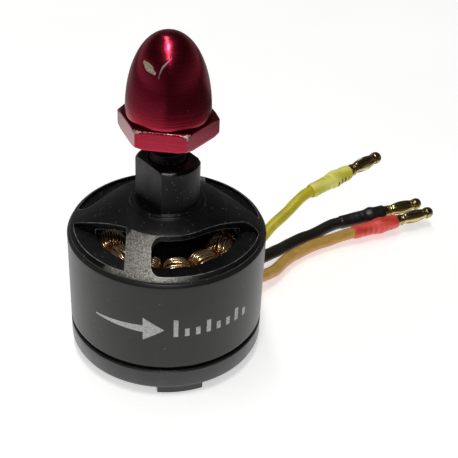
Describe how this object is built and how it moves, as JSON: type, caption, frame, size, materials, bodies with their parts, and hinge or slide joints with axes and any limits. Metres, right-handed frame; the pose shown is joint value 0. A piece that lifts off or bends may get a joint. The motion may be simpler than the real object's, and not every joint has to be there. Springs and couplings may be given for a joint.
{
  "type": "brushless outrunner motor",
  "caption": "Outrunner motor: black bell with windowed conical cap turning round a wound stator, threaded prop stud with red bullet nut, and bullet-connector leads.",
  "frame": {"origin": "on the spin axis, in the plane of the four mounting feet", "axes": "+Z along the spin axis toward the bullet nut; the leads leave toward +X and +Y"},
  "size_m": [0.0609, 0.0464, 0.049],
  "materials": {
    "black_anodised": "satin black anodised",
    "ring_coat": "satin charcoal coating on steel",
    "magnet_nickel": "nickel-plated, dulled by adhesive",
    "shaft_steel": "ground",
    "spring_steel": "phosphated spring steel",
    "shim_brass": "plain",
    "red_anodised": "gloss red anodised, worn at the edges",
    "base_black": "satin black anodised",
    "lamination": "epoxy-coated laminations",
    "insulator": "moulded",
    "copper": "enamelled copper strands",
    "bearing_steel": "ground",
    "ball_steel": "polished",
    "cage_brass": "plain",
    "shield_steel": "stamped",
    "yellow_insulation": "semi-gloss silicone",
    "black_insulation": "semi-gloss silicone",
    "red_insulation": "translucent, copper strands showing through",
    "yellow_heat_shrink": "semi-translucent",
    "black_heat_shrink": "satin",
    "red_heat_shrink": "satin",
    "gold_pin": "gold plated",
    "gold_spring": "gold plated"
  },
  "bodies": {
    "stator": {"upper_bearing_outer": "bearing_steel", "upper_bearing_shields": "shield_steel", "lower_bearing_outer": "bearing_steel", "lower_bearing_shields": "shield_steel", "motor_base": "base_black", "stator_core": "lamination", "upper_insulator": "insulator", "lower_insulator": "insulator", "windings_phase_a": "copper", "windings_phase_b": "copper", "windings_phase_c": "copper", "yellow_wire": "yellow_insulation", "yellow_sleeve": "yellow_heat_shrink", "yellow_pin": "gold_pin", "yellow_pin_spring": "gold_spring", "black_wire": "black_insulation", "black_sleeve": "black_heat_shrink", "black_pin": "gold_pin", "black_pin_spring": "gold_spring", "red_wire": "red_insulation", "red_sleeve": "red_heat_shrink", "red_pin": "gold_pin", "red_pin_spring": "gold_spring"},
    "rotor": {"rotor_bell": "black_anodised", "flux_ring": "ring_coat", "magnets": "magnet_nickel", "motor_shaft": "shaft_steel", "shaft_clip": "spring_steel", "upper_shim": "shim_brass", "lower_shim": "shim_brass", "upper_bearing_inner": "bearing_steel", "lower_bearing_inner": "bearing_steel"},
    "nut": {"prop_nut": "red_anodised"},
    "upper_ball_set": {"upper_bearing_balls": "ball_steel", "upper_bearing_cage": "cage_brass"},
    "lower_ball_set": {"lower_bearing_balls": "ball_steel", "lower_bearing_cage": "cage_brass"}
  },
  "joints": [
    {"name": "rotor_spin", "type": "hinge", "parent": "stator", "child": "rotor", "pos_m": [0, 0, 0.012], "axis": [0, 0, 1], "continuous": true},
    {"name": "upper_bearing_orbit", "type": "hinge", "parent": "stator", "child": "upper_ball_set", "pos_m": [0, 0, 0.0173], "axis": [0, 0, 1], "continuous": true},
    {"name": "lower_bearing_orbit", "type": "hinge", "parent": "stator", "child": "lower_ball_set", "pos_m": [0, 0, 0.004], "axis": [0, 0, 1], "continuous": true},
    {"name": "prop_nut_travel", "type": "slide", "parent": "rotor", "child": "nut", "axis": [0, 0, 1], "range_m": [-0.0041, 0.0075]}
  ],
  "couplings": [
    {"joint": "upper_bearing_orbit", "follows": "rotor_spin", "ratio": 0.366},
    {"joint": "lower_bearing_orbit", "follows": "rotor_spin", "ratio": 0.366}
  ]
}
